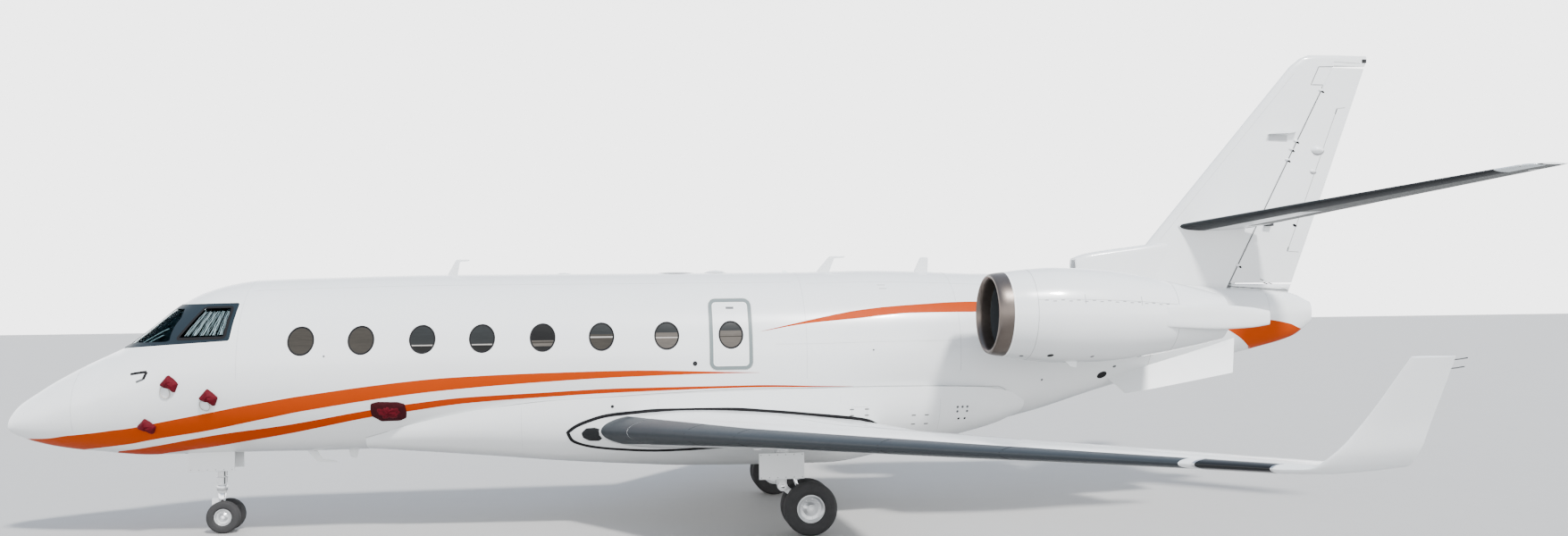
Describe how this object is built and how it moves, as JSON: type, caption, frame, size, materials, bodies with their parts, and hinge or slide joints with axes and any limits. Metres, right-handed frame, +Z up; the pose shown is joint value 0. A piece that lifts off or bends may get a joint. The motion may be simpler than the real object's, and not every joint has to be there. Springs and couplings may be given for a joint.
{
  "type": "business jet",
  "caption": "White business jet with orange stripes, swept low wings with winglets, fin, tailplane and two engines on the rear body, parked on its twin wheel gear.",
  "frame": {"origin": "on the ground under the middle of the aircraft's bounding box, as it stands parked", "axes": "+Z up, nose towards -X, port side towards -Y, the fuselage's centre plane at Y = 0"},
  "size_m": [19.03, 17.6874, 6.45],
  "materials": {
    "white_paint": "gloss white paint on aluminium",
    "composite_paint": "gloss white paint on composite",
    "dark_frame": "dark blue grey",
    "tinted_glass": "tinted",
    "window_pane": "pane with drawn shade",
    "floor_panel": "carpeted panel",
    "dark_trim": "dark trim",
    "seat_leather": "tan leather",
    "grey_metal": "bare grey leading edge",
    "lip_metal": "heat stained metal",
    "bare_metal": "machined",
    "engine_metal": "dull steel",
    "gear_metal": "white painted steel",
    "tyre_rubber": "rubber"
  },
  "bodies": {
    "root": {"radome": "white_paint", "nose_section": "white_paint", "cockpit_section": "white_paint", "cabin_section": "white_paint", "aft_fuselage": "white_paint", "tail_cone": "white_paint", "belly_fairing": "white_paint", "windshield_frame": "dark_frame", "cockpit_glass": "tinted_glass", "port_windows": "window_pane", "starboard_windows": "window_pane", "overwing_exit": "white_paint", "cabin_floor": "floor_panel", "instrument_panel": "dark_trim", "pilot_seat_port": "seat_leather", "pilot_seat_starboard": "seat_leather", "cabin_seats": "seat_leather", "port_wing": "white_paint", "starboard_wing": "white_paint", "port_leading_edge": "grey_metal", "starboard_leading_edge": "grey_metal", "port_flap": "white_paint", "starboard_flap": "white_paint", "port_winglet": "composite_paint", "starboard_winglet": "composite_paint", "fin": "composite_paint", "stabilizer": "composite_paint", "port_ventral_fin": "composite_paint", "starboard_ventral_fin": "composite_paint", "port_inlet_lip": "lip_metal", "starboard_inlet_lip": "lip_metal", "port_cowl": "composite_paint", "starboard_cowl": "composite_paint", "port_engine_core": "engine_metal", "starboard_engine_core": "engine_metal", "port_pylon": "white_paint", "starboard_pylon": "white_paint", "nose_leg": "gear_metal", "nose_door_port": "white_paint", "nose_door_starboard": "white_paint", "port_main_leg": "gear_metal", "starboard_main_leg": "gear_metal"},
    "nose_steering": {"nose_fork": "gear_metal"},
    "nose_wheels": {"nose_hubs": "bare_metal", "nose_tyre_port": "tyre_rubber", "nose_tyre_starboard": "tyre_rubber"},
    "port_wheels": {"port_main_hubs": "bare_metal", "port_main_tyre_inner": "tyre_rubber", "port_main_tyre_outer": "tyre_rubber"},
    "starboard_wheels": {"starboard_main_hubs": "bare_metal", "starboard_main_tyre_inner": "tyre_rubber", "starboard_main_tyre_outer": "tyre_rubber"},
    "port_rotor": {"port_fan": "bare_metal"},
    "starboard_rotor": {"starboard_fan": "bare_metal"},
    "door": {"entry_door": "white_paint"},
    "rudder": {"rudder": "composite_paint"},
    "port_elevator": {"port_elevator": "composite_paint"},
    "starboard_elevator": {"starboard_elevator": "composite_paint"},
    "port_aileron": {"port_aileron": "white_paint"},
    "starboard_aileron": {"starboard_aileron": "white_paint"}
  },
  "joints": [
    {"name": "nose_steer", "type": "hinge", "parent": "root", "child": "nose_steering", "pos_m": [-6.965, 0, 0.45], "axis": [0, 0, 1], "range_deg": [-60, 60]},
    {"name": "nose_wheel_spin", "type": "hinge", "parent": "nose_steering", "child": "nose_wheels", "pos_m": [-6.915, 0, 0.205], "axis": [0, 1, 0], "continuous": true},
    {"name": "port_wheel_spin", "type": "hinge", "parent": "root", "child": "port_wheels", "pos_m": [0.415, -1.65, 0.33], "axis": [0, 1, 0], "continuous": true},
    {"name": "starboard_wheel_spin", "type": "hinge", "parent": "root", "child": "starboard_wheels", "pos_m": [0.415, 1.65, 0.33], "axis": [0, 1, 0], "continuous": true},
    {"name": "port_fan_spin", "type": "hinge", "parent": "root", "child": "port_rotor", "pos_m": [3.985, -1.89, 2.66], "axis": [0.9997, 0, -0.0244], "continuous": true},
    {"name": "starboard_fan_spin", "type": "hinge", "parent": "root", "child": "starboard_rotor", "pos_m": [3.985, 1.89, 2.66], "axis": [0.9997, 0, -0.0244], "continuous": true},
    {"name": "entry_door_swing", "type": "hinge", "parent": "root", "child": "door", "pos_m": [-6.015, 0.81325, 1.38], "axis": [-0.9995, -0.032, 0], "range_deg": [0, 130]},
    {"name": "rudder_turn", "type": "hinge", "parent": "root", "child": "rudder", "pos_m": [6.905, 0, 3.08], "axis": [0.4798, 0, 0.8774], "range_deg": [-25, 25]},
    {"name": "port_elevator_turn", "type": "hinge", "parent": "root", "child": "port_elevator", "pos_m": [7.09928, -0.32, 3.93333], "axis": [-0.5903, 0.7962, -0.1327], "range_deg": [-25, 15]},
    {"name": "starboard_elevator_turn", "type": "hinge", "parent": "root", "child": "starboard_elevator", "pos_m": [7.09928, 0.32, 3.93333], "axis": [0.5903, 0.7962, 0.1327], "range_deg": [-25, 15]},
    {"name": "port_aileron_turn", "type": "hinge", "parent": "root", "child": "port_aileron", "pos_m": [2.17589, -5.75, 1.48521], "axis": [-0.4403, 0.8969, -0.0407], "range_deg": [-20, 20]},
    {"name": "starboard_aileron_turn", "type": "hinge", "parent": "root", "child": "starboard_aileron", "pos_m": [2.17589, 5.75, 1.48521], "axis": [0.4403, 0.8969, 0.0407], "range_deg": [-20, 20]}
  ],
  "couplings": [
    {"joint": "starboard_elevator_turn", "follows": "port_elevator_turn", "ratio": 1},
    {"joint": "starboard_aileron_turn", "follows": "port_aileron_turn", "ratio": -1}
  ]
}
